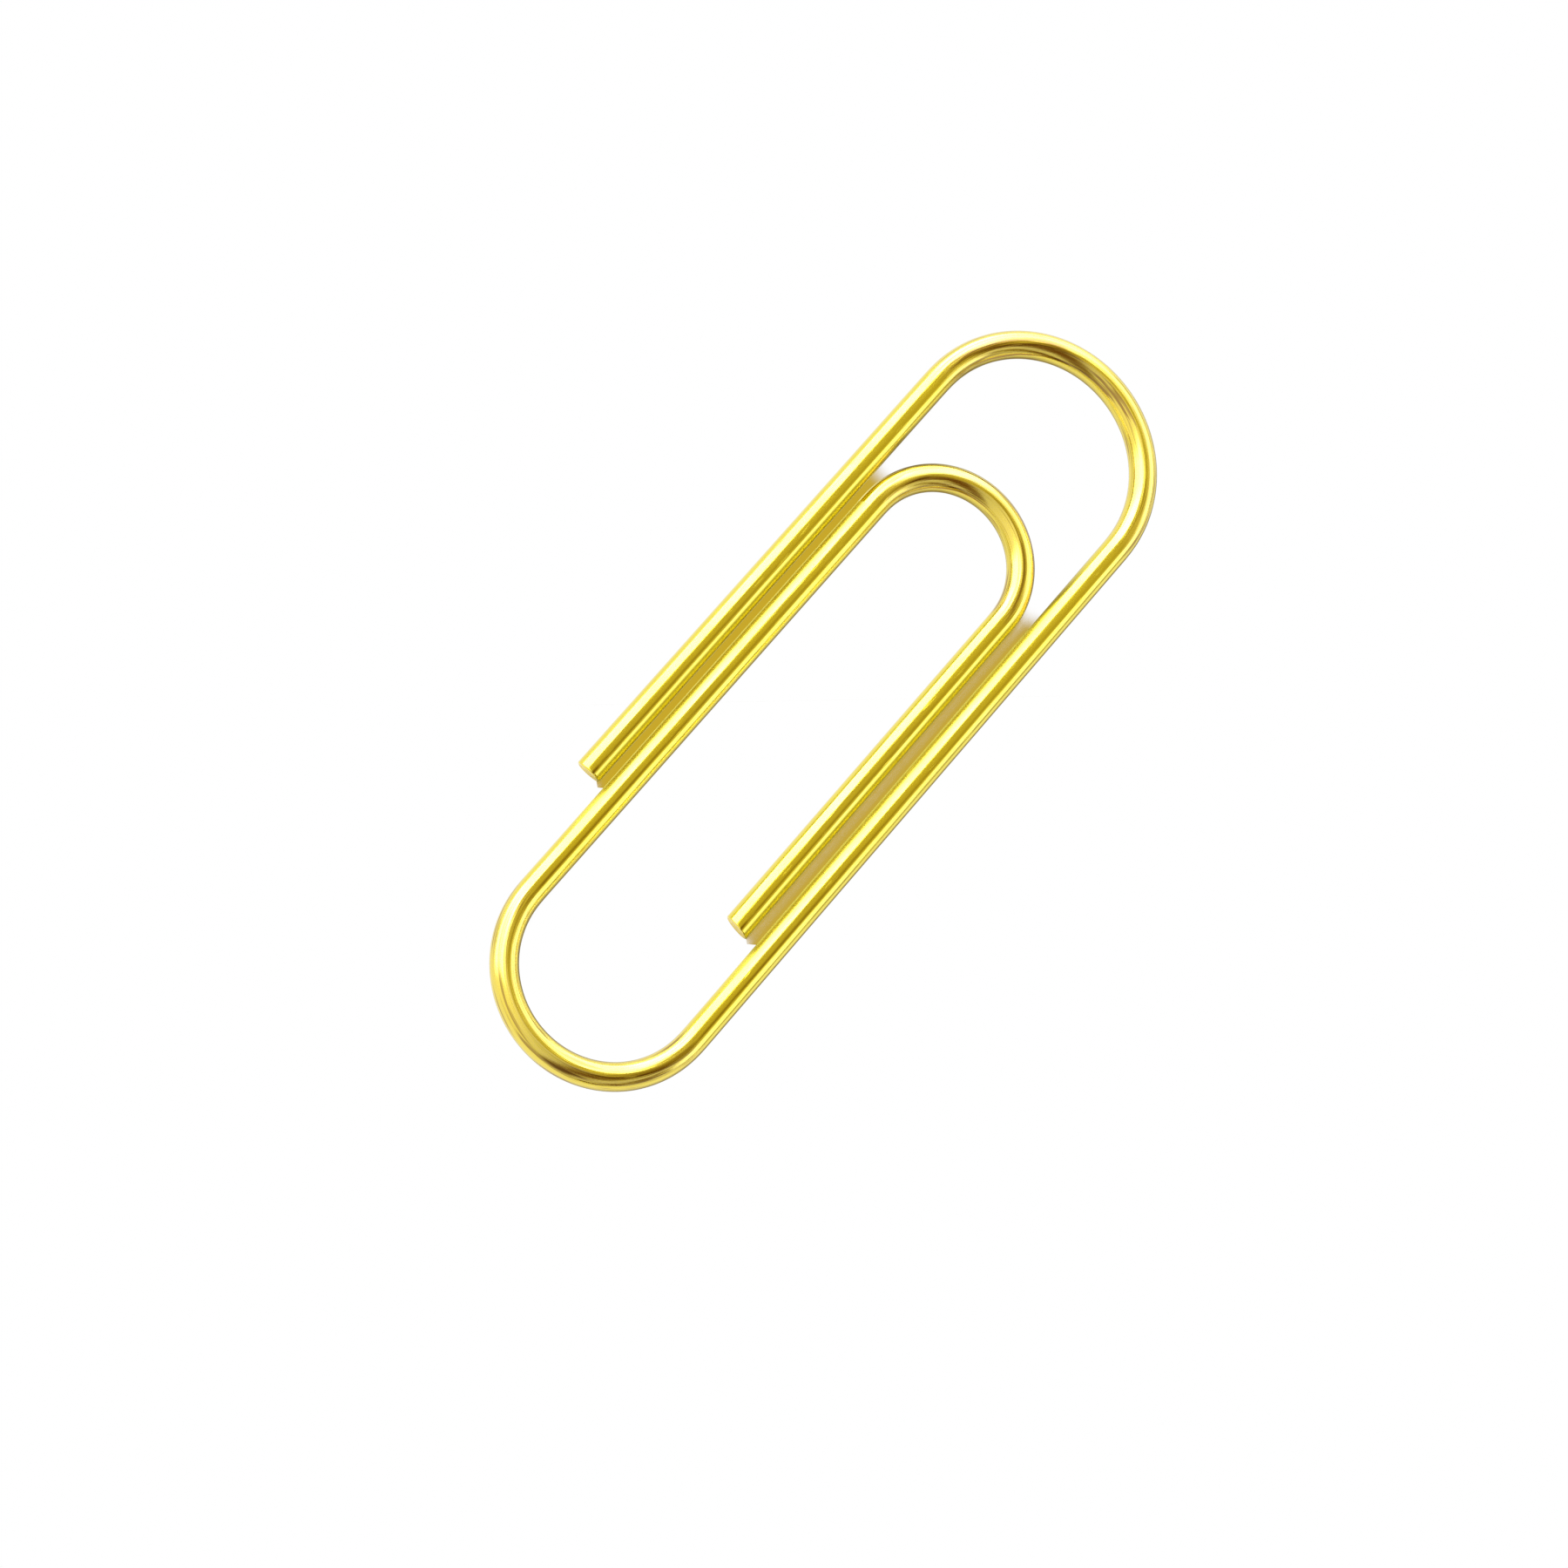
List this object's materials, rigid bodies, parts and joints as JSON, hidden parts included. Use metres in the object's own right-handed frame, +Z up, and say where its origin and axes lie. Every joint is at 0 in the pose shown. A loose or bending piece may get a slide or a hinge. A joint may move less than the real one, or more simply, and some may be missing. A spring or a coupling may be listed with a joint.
{
  "type": "paper clip",
  "caption": "Double-loop paper clip bent from one round gold-plated steel wire; its inner loop springs out of the outer loop's plane to grip sheets of paper.",
  "frame": {"origin": "middle of the clip's plan, on the plane that it lies on", "axes": "+Y along the length towards the upper bend, +X across towards the long leg, +Z up out of the clip's plane"},
  "size_m": [0.0096, 0.033, 0.001],
  "materials": {
    "plated_wire": "bright gold-coloured plating on drawn steel wire, polished, with faint lines along the wire"
  },
  "bodies": {
    "spine": {"long_leg": "plated_wire", "upper_bend_right": "plated_wire", "lower_bend_right": "plated_wire"},
    "outer_arm": {"outer_leg": "plated_wire", "upper_bend_left": "plated_wire"},
    "tongue": {"middle_leg": "plated_wire", "lower_bend_left": "plated_wire", "inner_bend_left": "plated_wire"},
    "tongue_arm": {"inner_leg": "plated_wire", "inner_bend_right": "plated_wire"}
  },
  "joints": [
    {"name": "upper_bend_twist", "type": "hinge", "parent": "spine", "child": "outer_arm", "pos_m": [0, 0.016, 0.0005], "axis": [-1, 0, 0], "range_deg": [-10, 10], "stiffness_Nm_per_rad": 0.41},
    {"name": "lower_bend_twist", "type": "hinge", "parent": "spine", "child": "tongue", "pos_m": [0.00061, -0.016, 0.0005], "axis": [1, 0, 0], "range_deg": [-9, 9], "stiffness_Nm_per_rad": 0.45},
    {"name": "inner_bend_twist", "type": "hinge", "parent": "tongue", "child": "tongue_arm", "pos_m": [-0.00008, 0.00965, 0.0005], "axis": [-1, 0, 0], "range_deg": [-7, 7], "stiffness_Nm_per_rad": 0.56}
  ]
}
